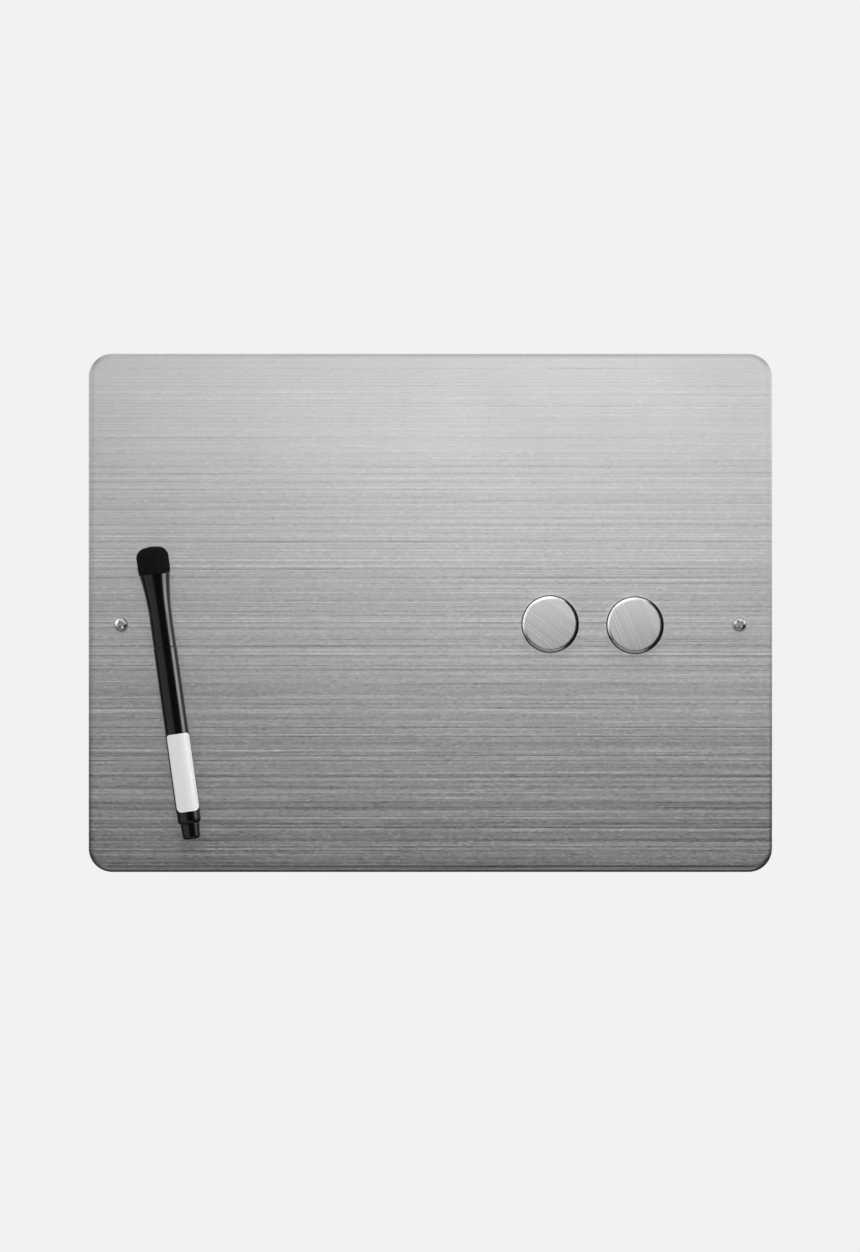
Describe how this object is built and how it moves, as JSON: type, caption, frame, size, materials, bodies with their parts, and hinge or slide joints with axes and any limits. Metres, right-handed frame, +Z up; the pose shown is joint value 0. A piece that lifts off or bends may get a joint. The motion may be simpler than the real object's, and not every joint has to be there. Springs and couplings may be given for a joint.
{
  "type": "magnetic whiteboard",
  "caption": "Wall-hung brushed steel magnetic board with a rolled edge, screw fixings, round steel-cup magnets and a capped marker with a felt eraser.",
  "frame": {"origin": "middle of the board on the wall plane, where the foam pads meet the wall", "axes": "+X to the right along the board's width, -Y out of the front face, +Z up the board's height"},
  "size_m": [0.302, 0.0495, 0.229],
  "materials": {
    "board_steel": "horizontally brushed stainless sheet",
    "hardboard": "matte pressed fibre",
    "pad_foam": "closed-cell foam, matte",
    "nylon": "moulded nylon, satin",
    "screw_steel": "bright stainless",
    "magnet_steel": "straight-brushed face, bright bevel",
    "ferrite": "ground ferrite, matte",
    "liner_rubber": "matte sheet rubber",
    "marker_plastic": "gloss moulded black",
    "seal_plastic": "natural polyethylene",
    "eraser_felt": "pressed felt, matte",
    "nib_fibre": "ink-soaked fibre",
    "ink_fibre": "ink-soaked fibre",
    "label_film": "satin white film, bare"
  },
  "bodies": {
    "board": {"face_pan": "board_steel", "stiffener_panel": "hardboard", "foam_pad_top_left": "pad_foam", "foam_pad_top_right": "pad_foam", "foam_pad_bottom_left": "pad_foam", "foam_pad_bottom_right": "pad_foam", "spacer_left": "nylon", "spacer_right": "nylon", "screw_left": "screw_steel", "screw_right": "screw_steel", "wall_anchor_left": "nylon", "wall_anchor_right": "nylon"},
    "magnet_left": {"magnet_left_cup": "magnet_steel", "magnet_left_core": "ferrite", "magnet_left_liner": "liner_rubber"},
    "magnet_right": {"magnet_right_cup": "magnet_steel", "magnet_right_core": "ferrite", "magnet_right_liner": "liner_rubber"},
    "cap": {"marker_cap": "marker_plastic", "cap_magnet": "ferrite", "cap_seal": "seal_plastic", "eraser_holder": "marker_plastic", "felt_eraser": "eraser_felt"},
    "pen": {"marker_barrel": "marker_plastic", "nib_holder": "marker_plastic", "writing_nib": "nib_fibre", "ink_reservoir": "ink_fibre", "tail_plug": "marker_plastic", "barrel_label": "label_film"}
  },
  "joints": [
    {"name": "magnet_left_lift", "type": "slide", "parent": "board", "child": "magnet_left", "axis": [0, -1, 0], "range_m": [0, 0.05]},
    {"name": "magnet_right_lift", "type": "slide", "parent": "board", "child": "magnet_right", "axis": [0, -1, 0], "range_m": [0, 0.05]},
    {"name": "marker_lift", "type": "slide", "parent": "board", "child": "cap", "axis": [0, -1, 0], "range_m": [0, 0.05]},
    {"name": "marker_uncap", "type": "slide", "parent": "cap", "child": "pen", "axis": [0.1392, 0, -0.9903], "range_m": [0, 0.045]}
  ]
}
